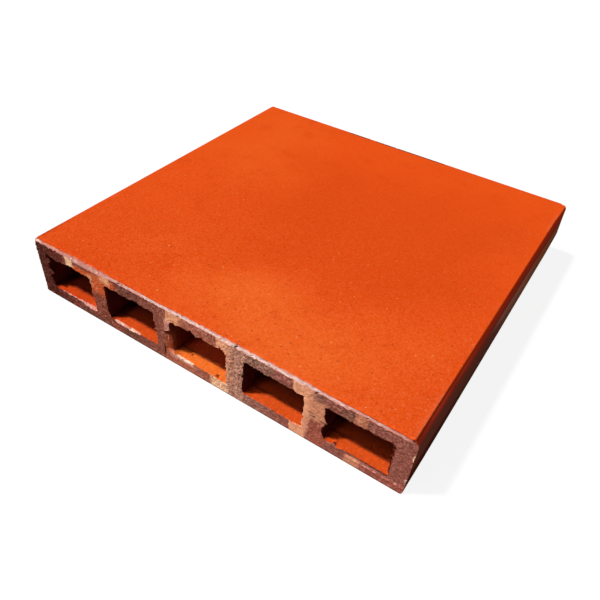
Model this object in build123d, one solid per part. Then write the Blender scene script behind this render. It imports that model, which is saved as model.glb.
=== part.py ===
from build123d import *
import os

# Hollow clay plank tile, extruded and fired in one piece. Millimetres, +Z up.
# The origin is the middle of the bed face, where the tile lies on the floor.
# +X runs across the row of cells and +Y along them, the way the clay left the die.

# Overall fired size
TILE_WIDTH = 300.0
TILE_LENGTH = 295.0
TILE_THICKNESS = 49.0

# Walls round the row of cells
CELL_COUNT = 5
SIDE_WALL = 10.25
WEB_WALL = 14.25
TOP_WALL = 11.5
BED_WALL = 9.0

# Edges that the die leaves along the length
TOP_EDGE_CHAMFER = 3.5
BED_EDGE_RADIUS = 2.0
CELL_CORNER_RADIUS = 1.5


def die_outline():
    """Outer outline of the section: flat bed and top, upright sides, bevelled top edges."""
    outline = Rectangle(TILE_WIDTH, TILE_THICKNESS, align=(Align.CENTER, Align.MIN))
    top_corners = outline.vertices().group_by(Axis.Y)[-1]
    outline = chamfer(top_corners, TOP_EDGE_CHAMFER)
    bed_corners = outline.vertices().group_by(Axis.Y)[0]
    return fillet(bed_corners, BED_EDGE_RADIUS)


def cell_outlines():
    """The die's cores: equal cells with rounded corners, a web apart, centred across the width."""
    clear_width = TILE_WIDTH - 2 * SIDE_WALL - (CELL_COUNT - 1) * WEB_WALL
    cell_width = clear_width / CELL_COUNT
    cell_height = TILE_THICKNESS - BED_WALL - TOP_WALL
    cell_middle = BED_WALL + cell_height / 2
    cell = RectangleRounded(cell_width, cell_height, CELL_CORNER_RADIUS)
    row = GridLocations(cell_width + WEB_WALL, 0, CELL_COUNT, 1)
    return [Pos(0, cell_middle) * place * cell for place in row]


def clay_tile():
    """One column of clay with open cells, wire-cut square at both ends."""
    section = die_outline() - cell_outlines()
    return extrude(Plane.XZ * section, amount=TILE_LENGTH / 2, both=True)


os.makedirs("parts", exist_ok=True)
export_step(clay_tile(), "parts/clay_tile.step")
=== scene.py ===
import math
from typing import NamedTuple

import bmesh
import bpy
from bpy.props import FloatProperty, FloatVectorProperty, IntProperty, PointerProperty
from mathutils import Matrix, Vector, noise


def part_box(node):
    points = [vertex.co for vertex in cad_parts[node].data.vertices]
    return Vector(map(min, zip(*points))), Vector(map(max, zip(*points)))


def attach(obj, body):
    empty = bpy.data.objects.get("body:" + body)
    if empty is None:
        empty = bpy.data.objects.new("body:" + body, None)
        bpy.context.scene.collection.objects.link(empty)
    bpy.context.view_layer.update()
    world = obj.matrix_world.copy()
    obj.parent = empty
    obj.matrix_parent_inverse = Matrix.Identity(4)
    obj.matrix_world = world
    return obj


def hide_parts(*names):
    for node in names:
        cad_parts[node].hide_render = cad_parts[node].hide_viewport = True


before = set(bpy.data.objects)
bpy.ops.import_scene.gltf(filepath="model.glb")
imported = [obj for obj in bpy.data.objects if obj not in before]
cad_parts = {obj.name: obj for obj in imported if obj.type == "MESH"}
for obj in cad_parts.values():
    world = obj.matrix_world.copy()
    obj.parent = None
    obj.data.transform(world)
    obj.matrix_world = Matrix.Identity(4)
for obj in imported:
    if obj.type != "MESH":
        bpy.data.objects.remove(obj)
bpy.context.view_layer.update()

bl_info = {
    "name": "Hollow clay plank tile",
    "version": (1, 0, 0),
    "blender": (4, 5, 0),
    "location": "3D View > Sidebar > Clay tile",
    "description": "Models a hollow clay plank tile with wire-cut ends and fired skin, and sets its stage",
    "category": "Object",
}

CAD_NODE = "clay_tile"
MM = 0.001
TILE_LOW, TILE_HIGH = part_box(CAD_NODE)
TILE_SIZE = TILE_HIGH - TILE_LOW

# Sizes below are in millimetres in the tile's own frame: x across the cells, y along them, z up.
HALF_WIDTH = TILE_SIZE.x / MM / 2
HALF_LENGTH = TILE_SIZE.y / MM / 2
THICKNESS = TILE_SIZE.z / MM

# Bevel of the long top edges.
BEVEL = 3.5

# The back end wears the same marks as the front one, mirrored and moved along by this much.
BACK_END_SHIFT = 23.0


def srgb(red, green, blue):
    """A colour written in the usual 0 to 255 steps, as the linear colour that a shader takes."""
    linear = []
    for step in (red, green, blue):
        share = step / 255
        linear.append(share / 12.92 if share <= 0.04045 else ((share + 0.055) / 1.055) ** 2.4)
    return (*linear, 1.0)


# Fired tones of the cut ends, from the flashed dark clay to the pale places that the flame never reached;
# umber and the darkest tone also serve for painted shade.
TONES = {
    "umber": srgb(90, 39, 29),
    "dun": srgb(106, 48, 37),
    "mauve": srgb(125, 71, 57),
    "rose brown": srgb(151, 84, 68),
    "russet": srgb(176, 100, 77),
    "tan": srgb(166, 109, 89),
    "plum": srgb(160, 92, 77),
    "sand": srgb(196, 136, 112),
    "lilac": srgb(190, 140, 132),
    "rust": srgb(146, 74, 56),
    "red rust": srgb(180, 92, 72),
    "burnt orange": srgb(215, 90, 40),
    "terracotta": srgb(206, 112, 76),
    "salmon": srgb(220, 142, 108),
    "apricot": srgb(244, 158, 112),
    "peach": srgb(252, 172, 132),
    "buff": srgb(255, 196, 156),
    "cream": srgb(255, 216, 168),
    "blush": srgb(255, 184, 166),
    "ivory": srgb(240, 208, 192),
    "pale grain": srgb(236, 197, 188),
    "ash": srgb(134, 104, 82),
    "brick red": srgb(150, 52, 40),
    # The darkest tone: dark grains, and painted shade in the scoop, a crack, a nick and the floor pits.
    "soot": srgb(66, 32, 27),
}

# The flash changes along the end: place on x, tone.
FLASH_ALONG_END = (
    (-150, "umber"),
    (-141, "umber"),
    (-129, "dun"),
    (-104, "mauve"),
    (-60, "mauve"),
    (-36, "rose brown"),
    (-8, "russet"),
    (8, "russet"),
    (34, "tan"),
    (62, "plum"),
    (150, "plum"),
)


class Mark(NamedTuple):
    """A place with its own tone, from the fire, from wear or as painted shade. Its fades are those of its
    left, right, low and high sides.
    """

    left: float
    right: float
    low: float
    high: float
    fades: tuple
    tone: str
    strength: float = 1.0


# Kiss marks, where the next tile in the kiln kept the flame off the cut end, with a few dark marks of
# painted shade under the arris, in the broken scoop, along a crack and in a nick. Low and high are on z.
KISS_MARKS_AND_PAINTED_SHADE = (
    Mark(-97, -80, 4, 38, (3, 3, 6, 6), "rust", 0.9),
    Mark(-99, -79, 27, 45, (3, 4, 8, 4), "burnt orange"),
    Mark(-112.5, -96, 36, 41.5, (1.5, 4, 2, 3), "burnt orange", 0.95),
    Mark(-100, -72, 37, 43.5, (3, 8, 3, 3), "burnt orange", 0.9),
    Mark(-99, -78, 35, 42, (4, 3, 5, 3), "terracotta", 0.3),
    Mark(-98.5, -94, 31, 40, (2, 2.5, 4, 3), "cream", 0.3),
    Mark(-113, -89, 43.6, 47.5, (3, 6, 1.2, 1), "lilac", 0.75),
    # Painted shade under the worn arris.
    Mark(-104, -84, 42.2, 44.2, (6, 4, 1, 1), "umber", 0.6),
    Mark(-86, -76.5, 39.5, 46, (6, 1.5, 4, 2), "apricot"),
    Mark(-82.5, -78.4, 40.2, 44.6, (1.5, 1, 1.5, 1.5), "cream", 0.2),
    Mark(-96.4, -94.4, 33.4, 35.4, (0.8, 0.8, 0.8, 0.8), "soot", 0.6),
    # Painted shade under the worn arris.
    Mark(-75, -20, 44.6, 46.4, (12, 10, 0.8, 0.8), "umber", 0.5),
    Mark(-122.5, -112, 37, 44, (3, 2, 2, 2), "rust", 0.7),
    Mark(-119.6, -112.6, 36, 46, (1.2, 2, 2, 2), "buff", 1.0),
    Mark(-118.5, -115.5, 39, 46, (1, 2.5, 3, 2), "cream", 0.9),
    Mark(-122, -113, -2, 4, (2, 3, 2, 2), "brick red", 0.6),
    Mark(-116.5, -112.8, 2, 5.5, (1.5, 1.5, 1.5, 1.5), "brick red", 0.7),
    Mark(-81, -70, -2, 6, (3, 5, 2, 2), "red rust", 0.6),
    Mark(-26.8, -15, 36, 47, (0.4, 8, 2, 2), "apricot"),
    Mark(-24, -17, 40, 45, (3, 3, 3, 2), "cream", 0.2),
    Mark(-28.5, -23, 26, 39, (0.8, 2, 2, 3), "blush", 0.45),
    Mark(-28.2, -20, 9, 24.5, (1, 2, 2, 1.5), "burnt orange", 0.75),
    # Painted shade deep in the broken scoop.
    Mark(-25, -20, 9, 24, (3, 1, 3, 3), "soot", 0.5),
    # Painted shade along the crack beside the scoop.
    Mark(-30.6, -28.6, 4, 14, (0.8, 0.8, 3, 3), "soot", 0.4),
    Mark(-30, -5, -2, 10, (2, 5, 2, 2), "terracotta", 0.4),
    Mark(-25, -5, 6, 10, (4, 5, 2, 1), "blush", 0.45),
    Mark(21, 36.5, -2, 47, (2, 3, 2, 2), "sand"),
    Mark(21, 27, 10, 47, (1, 5, 3, 3), "apricot", 0.35),
    Mark(14.6, 23, 36, 47, (0.8, 4, 2, 2), "peach"),
    Mark(10, 24, -3, 9.5, (5, 4, 3, 2), "buff"),
    # Painted shade in a small nick.
    Mark(10.4, 12.2, 6.4, 8.4, (0.8, 0.8, 0.8, 0.8), "soot", 0.7),
    Mark(38, 57, 37, 47, (5, 3, 2, 2), "ash", 0.35),
    Mark(71.6, 85, 35, 47, (0.4, 7, 3, 2), "peach"),
    Mark(79, 95.5, 21, 39, (1, 3, 5, 4), "salmon"),
    Mark(78, 84, 5, 40, (1, 5, 5, 4), "peach", 0.9),
    Mark(85, 96, 0, 20, (3, 2, 2, 5), "red rust", 0.8),
    Mark(85.5, 93, 40, 47, (3, 4, 4, 2), "ash", 0.4),
    Mark(71.5, 83, -2, 9.5, (0.8, 2, 2, 2), "peach"),
    Mark(111.8, 120, 36, 48, (0.7, 1.5, 2, 2), "apricot", 0.42),
    Mark(104, 112, 37, 44, (4, 0.8, 2, 3), "ash", 0.35),
    Mark(110.8, 121, -2, 7, (1, 3, 2, 2), "salmon", 0.95),
    Mark(121, 150, -2, 5.5, (5, 2, 2, 1), "red rust", 0.5),
)

# How far a mark's ragged sides may reach past its box.
MARK_REACH = 12.0

# Tones that the flame left smooth, with little grain.
SMOOTH_TONES = ("burnt orange", "terracotta", "salmon", "apricot", "peach", "buff", "cream", "blush")

# Lumps of sand in the cut, pale and dark, coarse about the third web: mark, and the noise where they start
# and are full.
SAND_LUMPS = (
    (Mark(18, 60, -3, 47, (8, 14, 2, 2), "ivory", 0.5), 0.54, 0.68),
    (Mark(18, 60, -3, 47, (8, 14, 2, 2), "mauve", 0.45), 0.46, 0.34),
    (Mark(-160, 160, -3, 50, (2, 2, 2, 2), "salmon", 0.22), 0.55, 0.72),
    (Mark(-160, 160, -3, 50, (2, 2, 2, 2), "soot", 0.3), 0.45, 0.3),
)

# Pits in the floor of the middle cell, painted dark as the shade in them, with no dent in the mesh. Low and
# high are on y.
FLOOR_PITS = (
    Mark(12.6, 14.8, -146.6, -144.4, (0.8, 0.8, 0.8, 0.8), "soot", 0.8),
    Mark(-12.2, -10.8, -141.3, -139.9, (0.6, 0.6, 0.6, 0.6), "soot", 0.7),
)

# Soft places on the top where the skin is deeper or lighter. Low and high are on y.
TOP_MARKS = (
    Mark(-60, 60, -60, 90, (110, 110, 110, 110), "skin_deep", 0.9),
    Mark(50, 140, -50, 90, (80, 80, 80, 80), "skin_deep", 0.9),
    Mark(-150, -60, -150, -110, (60, 60, 60, 60), "skin_deep", 0.5),
    Mark(-40, 110, -150, -95, (90, 90, 90, 90), "skin_bright"),
    Mark(-150, -70, 20, 150, (90, 90, 90, 90), "skin_bright", 0.3),
    Mark(-144, -134, -148, -138, (4, 10, 4, 10), "grain_dark", 0.2),
)

# Darker strips along the far upper arris: left, right, and how far the two sides fade.
FAR_ARRIS_DARK_STRIPS = ((-59, -35, 10, 2), (-28.5, 40, 2, 10))

# Torn rims of the cells: x, z, reach into the opening (less than zero where clay broke away), half width,
# half height.
TORN_RIMS = (
    (-140, 36, -2.4, 3, 3),
    (-140, 34.3, -2.2, 3, 1.4),
    (-140, 32.2, 2.6, 3, 1.6),
    (-140, 27.5, -1.6, 3, 2.6),
    (-140, 24.8, -2.4, 3, 1.6),
    (-140, 22, 3.6, 3, 2.2),
    (-140, 17, -1.8, 3, 2.4),
    (-140, 12, 1.4, 3, 1.6),
    (-140, 8.5, 2.2, 3, 2.4),
    (-131, 37.5, 1.9, 14, 3),
    (-117, 37.5, -0.8, 4, 3),
    (-104, 37.5, 1.0, 7, 3),
    (-95.3, 37.5, 1.6, 4.5, 4.5),
    (-95.3, 33, 1.5, 3, 4),
    (-95.3, 25, 1.3, 3, 9),
    (-81, 30, -1.8, 3, 22),
    (-81, 33.5, -1.0, 3, 3),
    (-81, 22, -0.9, 3, 1.8),
    (-81, 16, -1.8, 3, 6),
    (-76, 37.5, 1.2, 3, 3),
    (-66, 37.5, 1.0, 2.5, 3),
    (-55.5, 37.5, -1.4, 2.5, 3),
    (-44, 37.5, 0.6, 3, 3),
    (-36.5, 35, 1.3, 4, 6),
    (-36.5, 30.8, 1.9, 3, 2.2),
    (-36.5, 23.5, 1.2, 3, 1.5),
    (-22.3, 24, -2.6, 3, 40),
    (-22.3, 25.5, -5.0, 5, 3.2),
    (-6.5, 37.5, -1.3, 2.4, 2.4),
    (-1.6, 37.5, 2.2, 2.4, 3),
    (17.5, 37.5, -1.4, 3, 3),
    (22.3, 37.5, 0.9, 3, 3),
    (22.3, 25, 0.6, 3, 3),
    (15.5, 9, -2.0, 1.2, 2),
    (36.5, 24, -0.9, 3, 16),
    (36.5, 37.5, -1.2, 3, 3),
    (36.5, 31, -0.7, 3, 4),
    (36.5, 24.2, -1.6, 3, 1.5),
    (36.5, 20, -1.0, 3, 3),
    (36.5, 13, -1.7, 3, 6.5),
    (44, 37.5, -0.9, 3, 3),
    (57, 37.5, 1.0, 1.5, 3),
    (62.5, 37.5, 1.0, 3.5, 3),
    (67, 37.5, 0.8, 2, 3),
    (75, 37.5, 1.3, 4, 3),
    (80, 37.5, 1.2, 2.4, 3),
    (81, 34, 1.6, 3, 26),
    (81, 9, 1.2, 3, 12),
    (95.2, 36, -1.2, 3, 7),
    (95.2, 28.5, -1.3, 3, 3.5),
    (95.2, 26, -1.0, 3, 1.2),
    (95.2, 24.2, 1.8, 3, 1.8),
    (95.2, 16, -1.7, 3, 7),
    (95.2, 10.4, 1.2, 3, 2.2),
    (103, 9, 2.6, 1.5, 3),
    (110, 37.5, 1.2, 1.6, 3),
    (114, 37.5, 2.2, 7, 3),
    (118.5, 37.5, 1.4, 1.6, 3),
    (122.5, 37.5, 1.0, 1.2, 3),
    (125.2, 37.5, 1.8, 2.4, 3),
    (130, 37.5, 1.2, 5, 3),
    (138.5, 37.5, 1.8, 2.5, 2.5),
    (139.8, 36.6, 1.4, 3, 1.6),
    (139.8, 34.8, -0.8, 3, 1.2),
    (139.8, 32.5, 1.6, 3, 1.8),
    (139.8, 27, 2.3, 3, 22),
    (139.8, 25.6, 0.7, 3, 2),
    (139.8, 21.5, 0.9, 3, 1.8),
    (139.8, 14, 1.0, 3, 10),
)

# Broken lips along the floors of the cells: left, right, drop of the break below the floor.
BROKEN_LIPS = (
    (-131, -109, 0.8),
    (-109, -95.5, 3.6),
    (-77, -53, 2.6),
    (-20, -5, 1.7),
)

# Scoop broken out of the left wall of the middle cell: left, right, low, high, depth. The break fades out
# along the cell over the reach.
BROKEN_WALL = (-28.5, -22.3, 9.0, 24.5, 3.2)
BREAK_REACH = 8.0

# Chalky lines on the cut ends: x and z of both ends, half width.
CHALK_LINES = ((-26.0, 23.4, -27.6, 14.0, 0.45),)

# Warp of the fired tile: how far in from a side its warp starts and is full, how far the left side and the
# back end stand out, and how far the right side leans in at the back, from this height down.
SIDE_BAND = (9, 2)
SIDE_BULGE = 0.45
BACK_BULGE = 0.9
SIDE_LEAN = 1.7
LEAN_HEIGHT = 22.0

# Towards the far right corner the bevel runs out from the first place on y, down to the leg that is left,
# and the side falls in from the second, most at the bevel's foot. The corner is worn round: across, along.
BEVEL_RUN_OUT = 116.0
BEVEL_LEFT = 1.6
SIDE_FALL_START = 126.0
SIDE_FALL = 1.4
SIDE_FALL_ABOVE = 0.6
WORN_CORNER = (2.6, 4.0)

# How far the wear reaches from the upper arris, down the end and along the top, and from the rim of a cell,
# over the end and into the cell.
ARRIS_REACH = (8, 4)
RIM_REACH = (6, 14)

# How deep into a cell a torn rim runs out, where it stands into the opening and where clay broke away.
BURR_DEPTH = 1.3
TEAR_DEPTH = 2.6

# Worn bevel of the upper arris: its legs down the end and along the top, and the back end's shares of them.
FACE_LEG = 3.4
TOP_LEG = 0.8
BACK_SHARES = (0.3, 0.1)

# How the leg down the end changes along the arris. Ramps: from, to, growth. Swells: middle, reach, growth.
LEG_RAMPS = ((-112, -124, 0.5), (112, 122, 0.3))
LEG_SWELLS = ((-21, 9, 0.6), (7, 18, -0.5))

# Stretches of the arris where its scum runs on over the top: start, full, ebb, end. The first is worn wider.
WIDE_STRETCH = (-124, -112, -88, -72)
WIDE_GROWTH = 1.5
PALE_STRETCH = (-30, -12, 78, 92)

# Sandier part of the cut ends: middle on x, reach.
SANDY_PART = (34, 40)

# Ledge low on the right of the cut ends: where it starts and is full on x, its height and its depth.
LEDGE_START = (106, 112)
LEDGE_HEIGHT = 5.6
LEDGE_DEPTH = 0.8

# Cracks in the cut ends, grooved, with painted shade in them: x and z of both ends, half width.
CRACKS = (
    (32.6, 24.6, 36.4, 23.6, 0.5),
    (84.2, 26.3, 86.4, 26.1, 0.35),
    (85.4, 24.2, 88.4, 23.8, 0.4),
    (92.4, 23.0, 95.0, 22.6, 0.45),
    (-29.6, 11.5, -29.9, 4.6, 0.4),
    (121.5, 7.8, 138.0, 7.5, 0.4),
)

# Nicks in the upper arris: x, half width, low, high. They slant, to the right by this much on the way up.
ARRIS_NICKS = (
    (-67.4, 1.0, 46.0, 49.6),
    (-16, 0.8, 45.2, 47.6),
    (29.6, 1.1, 45.2, 50.3),
    (54, 0.8, 46.2, 48.6),
    (87, 0.8, 43.0, 48.0),
    (119, 0.8, 45.0, 47.8),
)
NICK_SLANT = 0.6

# Chips out of the upright arris on the right: z, half height, size.
SIDE_CHIPS = ((34, 4.2, 1.5), (12, 2.2, 2.0))


def length_prop(name, description, millimetres):
    return FloatProperty(name=name, description=description, default=millimetres * MM, unit="LENGTH")


def colour_prop(name, description, red, green, blue):
    return FloatVectorProperty(
        name=name, description=description, subtype="COLOR", size=4,
        default=srgb(red, green, blue), min=0, max=1)


class ClayTileSizes(bpy.types.PropertyGroup):
    """Walls and mesh of the tile"""

    cell_count: IntProperty(name="Cells", description="Cells in the row", default=5, min=1)
    side_wall: length_prop("Side wall", "Wall outside the outer cells", 10.25)
    web_wall: length_prop("Web", "Wall between two cells", 14.25)
    top_wall: length_prop("Top wall", "Wall over the cells", 11.5)
    bed_wall: length_prop("Bed wall", "Wall under the cells", 9.0)
    edge_chamfer: length_prop("Top bevel", "Bevel of the long top edges", BEVEL)
    bed_radius: length_prop("Bed radius", "Radius of the long bed edges", 2.0)
    corner_radius: length_prop("Cell corner", "Radius in the corners of a cell", 1.5)
    grid_step: length_prop("Grid step", "Mesh step across the cut ends", 0.6)
    half_slices: IntProperty(
        name="Slices", description="Mesh slices from an end to the middle", default=10, min=2)
    slice_growth: FloatProperty(
        name="Slice growth", description="Each slice from the end over the one before", default=1.68)


class ClayTileFinish(bpy.types.PropertyGroup):
    """Colours of the fired clay"""

    skin: colour_prop("Skin", "Orange skin of the top", 233, 83, 23)
    skin_deep: colour_prop("Deep skin", "Deeper orange of the mottled places", 223, 76, 19)
    skin_bright: colour_prop("Bright skin", "Lighter orange of the mottled places", 243, 105, 38)
    skin_side: colour_prop("Side skin", "Browned skin of the upright sides", 158, 88, 71)
    speck_dark: colour_prop("Dark speck", "Iron specks in the clay", 140, 42, 16)
    speck_pale: colour_prop("Pale speck", "Sand specks in the clay", 250, 190, 110)
    worn_lip: colour_prop("Worn lip", "Pale scum on worn and broken edges", 222, 147, 133)
    worn_white: colour_prop("Worn white", "Whiter scum on worn and broken edges", 250, 211, 200)
    # Also the painted highlights on the lit tops of the broken lips and of the ledge.
    lip_white: colour_prop("Lip white", "Creamy scum on the broken lips and chips", 255, 226, 196)
    grain_dark: colour_prop("Dark grain", "Dark grain of the skin", 168, 24, 2)
    grain_pale: colour_prop("Pale grain", "Pale grain of the skin", 255, 200, 160)
    scuff: colour_prop("Scuff", "Pale scuffs on the skin", 244, 160, 116)
    # Dark specks of the cut, and painted shade in the nicks and cracks, along the lower arris, behind the
    # front top edge, under the ledge and on the cell floors by their left walls.
    soot: colour_prop("Soot", "Dark of cracks and nicks", 44, 18, 14)
    # Darker strips along the far upper arris.
    arris_burn: colour_prop("Burnt arris", "Burnt places along the far upper arris", 96, 26, 12)
    skin_edge: colour_prop("Edge skin", "Browned skin of the long bevels", 188, 60, 34)
    edge_far: colour_prop("Far edge", "Darker skin of the far part of the long bevels", 165, 44, 20)
    edge_low: colour_prop("Low edge", "Browner skin of the lower part of the long bevels", 124, 47, 35)
    edge_line: colour_prop("Edge line", "Dark line along the long bevels", 116, 24, 6)
    side_grey: colour_prop("Side streak", "Greyer streaks of the upright sides", 216, 143, 123)
    side_far: colour_prop("Far side", "Warmer skin of the far part of the upright sides", 208, 116, 72)
    cell: colour_prop("Cell floor", "Clay in the mouths of the cells", 227, 84, 30)
    # Painted shade deep in the cells.
    cell_deep_painted_shade: colour_prop("Deep cell", "Darker clay deep in the cells", 116, 42, 32)
    cell_red: colour_prop("Red cell", "Redder clay in the mouths of the left cells", 190, 40, 10)
    # Painted shade on the walls of the cells.
    cell_wall: colour_prop("Cell wall", "Darker clay on the walls of the cells", 92, 33, 26)
    cell_pale: colour_prop("Pale cell", "Lighter clay in the mouth of the middle cell", 253, 120, 46)
    # Painted shade deep in the middle cell.
    cell_pale_deep_painted_shade: colour_prop("Deep pale cell", "Clay deep in the middle cell", 250, 86, 44)


class ClayTileStage(bpy.types.PropertyGroup):
    """Light and camera"""

    key_strength: FloatProperty(name="Key", description="Strength of the key light", default=2.95)
    fill_strength: FloatProperty(name="Fill", description="Strength of the low fill light", default=1.4)
    back_strength: FloatProperty(name="Back fill", description="Strength of the light behind", default=0.35)
    room_level: FloatProperty(name="Room", description="Light that the room gives all round", default=0.08)
    floor_size: FloatProperty(name="Floor", description="Side of the floor", default=6.0, unit="LENGTH")
    lens: FloatProperty(name="Lens", description="Focal length of the camera, in mm", default=35.316)


# Mesh of the tile


class Section:
    """The tile's section in millimetres, with its row of cells."""

    def __init__(self, sizes):
        self.side = sizes.side_wall / MM
        self.web = sizes.web_wall / MM
        self.bed = sizes.bed_wall / MM
        self.count = sizes.cell_count
        self.radius = sizes.corner_radius / MM
        self.roof = THICKNESS - sizes.top_wall / MM
        walls = 2 * self.side + (self.count - 1) * self.web
        self.cell = (2 * HALF_WIDTH - walls) / self.count
        self.pitch = self.cell + self.web
        self.mid_z = (self.bed + self.roof) / 2
        self.half_x = self.cell / 2
        self.half_z = (self.roof - self.bed) / 2

    def cell_mid(self, x):
        """Middle of the cell that is nearest to x."""
        first = -self.pitch * (self.count - 1) / 2
        index = min(max(round((x - first) / self.pitch), 0), self.count - 1)
        return first + index * self.pitch

    def in_cell(self, x, z):
        inside_x = abs(x - self.cell_mid(x)) < self.half_x
        return inside_x and abs(z - self.mid_z) < self.half_z

    def rim(self, x, z, radius):
        """Distance from the nearest cell's outline, and the direction from the opening into the clay."""
        from_x = x - self.cell_mid(x)
        from_z = z - self.mid_z
        over_x = abs(from_x) - self.half_x + radius
        over_z = abs(from_z) - self.half_z + radius
        if over_x > 0 and over_z > 0:
            reach = math.hypot(over_x, over_z)
            way = (over_x / reach, over_z / reach)
        elif over_x > over_z:
            reach = over_x
            way = (1.0, 0.0)
        else:
            reach = over_z
            way = (0.0, 1.0)
        return reach - radius, math.copysign(way[0], from_x), math.copysign(way[1], from_z)


def spaced(start, spans, step):
    """Grid lines from start across spans that follow one another, each in whole steps of about one size."""
    lines = [start]
    for span in spans:
        begin = lines[-1]
        count = max(round(span / step), 1)
        lines += [begin + span * (index + 1) / count for index in range(count)]
    return lines


def slice_places(count, growth):
    """Places along the tile, close together at both ends."""
    near = [HALF_LENGTH * (growth ** index - 1) / (growth ** count - 1) for index in range(count + 1)]
    front = [place - HALF_LENGTH for place in near]
    return front + [-place for place in reversed(front[:-1])]


def cut_section(bm, section, sizes):
    """The front end as a grid that follows the walls, with the cells open and the long edges cut."""
    step = sizes.grid_step / MM
    across = [section.side]
    for _ in range(section.count - 1):
        across += [section.cell, section.web]
    across += [section.cell, section.side]
    columns = spaced(-HALF_WIDTH, across, step)
    rows = spaced(0.0, [section.bed, section.roof - section.bed, THICKNESS - section.roof], step)
    last_column = len(columns) - 1
    last_row = len(rows) - 1
    bmesh.ops.create_grid(bm, x_segments=last_column, y_segments=last_row, size=0.5)
    for vert in bm.verts:
        x = columns[round((vert.co.x + 0.5) * last_column)]
        z = rows[round((vert.co.y + 0.5) * last_row)]
        vert.co = (x, -HALF_LENGTH, z)
    open_faces = []
    for face in bm.faces:
        middle = face.calc_center_median()
        if section.in_cell(middle.x, middle.z):
            open_faces.append(face)
    bmesh.ops.delete(bm, geom=open_faces, context="FACES")
    cut_long_edges(bm, sizes)
    round_cell_corners(bm, section)


def cut_long_edges(bm, sizes):
    """Bevels of the long top edges and rounds of the long bed edges, cut from the section."""
    chamfer = sizes.edge_chamfer / MM
    radius = sizes.bed_radius / MM
    planes = [((HALF_WIDTH - chamfer, THICKNESS), 45)]
    for angle in (-22.5, -45, -67.5):
        turn = math.radians(angle)
        edge_x = HALF_WIDTH - radius + radius * math.cos(turn)
        edge_z = radius + radius * math.sin(turn)
        planes.append(((edge_x, edge_z), angle))
    for (edge_x, edge_z), angle in planes:
        turn = math.radians(angle)
        for hand in (-1, 1):
            bmesh.ops.bisect_plane(
                bm, geom=bm.verts[:] + bm.edges[:] + bm.faces[:], dist=1e-5,
                plane_co=(hand * edge_x, 0, edge_z),
                plane_no=(hand * math.cos(turn), 0, math.sin(turn)), clear_outer=True)


def round_cell_corners(bm, section):
    """Draws the clay round each square cell corner in to the corner's radius."""
    reach = 2 * section.radius
    for vert in bm.verts:
        square, _, _ = section.rim(vert.co.x, vert.co.z, 0.0)
        if square > reach:
            continue
        mid_x = section.cell_mid(vert.co.x)
        on_x = min(max(vert.co.x - mid_x, -section.half_x), section.half_x) + mid_x
        on_z = min(max(vert.co.z, section.bed), section.roof)
        rounded, way_x, way_z = section.rim(on_x, on_z, section.radius)
        share = rounded * (1 - max(square, 0.0) / reach) ** 2
        vert.co.x -= way_x * share
        vert.co.z -= way_z * share


def draw_out(bm, sizes):
    """Draws the section out along the cells and slices it, finely near the cut ends."""
    drawn = bmesh.ops.extrude_face_region(bm, geom=bm.faces[:], use_keep_orig=True)
    ends = [item for item in drawn["geom"] if isinstance(item, bmesh.types.BMVert)]
    bmesh.ops.translate(bm, verts=ends, vec=(0, 2 * HALF_LENGTH, 0))
    places = slice_places(sizes.half_slices, sizes.slice_growth)
    last = len(places) - 1
    lengthwise = [edge for edge in bm.edges if edge.calc_length() > HALF_LENGTH]
    bmesh.ops.subdivide_edges(bm, edges=lengthwise, cuts=last - 1, use_grid_fill=True)
    for vert in bm.verts:
        index = round((vert.co.y + HALF_LENGTH) / (2 * HALF_LENGTH) * last)
        vert.co.y = places[index]
    bmesh.ops.recalc_face_normals(bm, faces=bm.faces[:])


SKIN, LEFT_END, RIGHT_END, CELL = range(4)

# A point less than this far behind a cut end lies on it.
ON_END = 0.01


def along_end(x, y):
    """Place along a cut end, on x at the front. The back end is the front one mirrored and moved along."""
    return x if y < 0 else BACK_END_SHIFT - x


def sort_surfaces(bm, section):
    """Gives each face the finish of the skin, of a cut end or of a cell."""
    for face in bm.faces:
        middle = face.calc_center_median()
        if abs(face.normal.y) > 0.9:
            face.material_index = LEFT_END if along_end(middle.x, middle.y) < 0 else RIGHT_END
        elif section.rim(middle.x, middle.z, section.radius)[0] < 0.4:
            face.material_index = CELL
        else:
            face.material_index = SKIN


def bump_at(place, reach):
    """A round bump that is 1 in the middle and 0 beyond its reach."""
    share = 1 - (place / reach) ** 2
    return share * share if abs(place) < reach else 0.0


def ramp(value, start, end):
    """0 at start and 1 at end, straight between them and level beyond."""
    return min(max((value - start) / (end - start), 0.0), 1.0)


def stretch(value, start, full, ebb, end):
    """1 between full and ebb, and 0 outside start and end."""
    return ramp(value, start, full) * ramp(value, end, ebb)


def rough(x, y, z, size):
    """Noise from about -1 to 1 whose lumps are about as large as size."""
    return noise.noise(Vector((x, y, z)) / size)


def on_line(x, z, start_x, start_z, end_x, end_z, half):
    """1 on a line between two points and 0 beyond twice its half width."""
    run = Vector((end_x - start_x, end_z - start_z))
    reach = Vector((x - start_x, z - start_z))
    share = min(max(reach.dot(run) / run.length_squared, 0.0), 1.0)
    return bump_at((reach - run * share).length, 2 * half)


def bevelled(on_face, behind, face_leg, depth_leg):
    """How far a point near a sharp edge moves, down the face and behind it, to lie on its worn bevel."""
    if face_leg <= 0 or depth_leg <= 0:
        return 0.0, 0.0, 0.0
    share = max(0.0, 1 - on_face / face_leg - behind / depth_leg)
    return share * face_leg / 2, share * depth_leg / 2, share


def rounded(first, second, first_leg, second_leg):
    """How far a point near a corner moves away from its two sides to lie on the corner's round."""
    if first >= first_leg or second >= second_leg:
        return 0.0, 0.0
    to_first = 1 - first / first_leg
    to_second = 1 - second / second_leg
    squeeze = 1 - max(to_first, to_second) / math.hypot(to_first, to_second)
    return squeeze * to_first * first_leg, squeeze * to_second * second_leg


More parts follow.
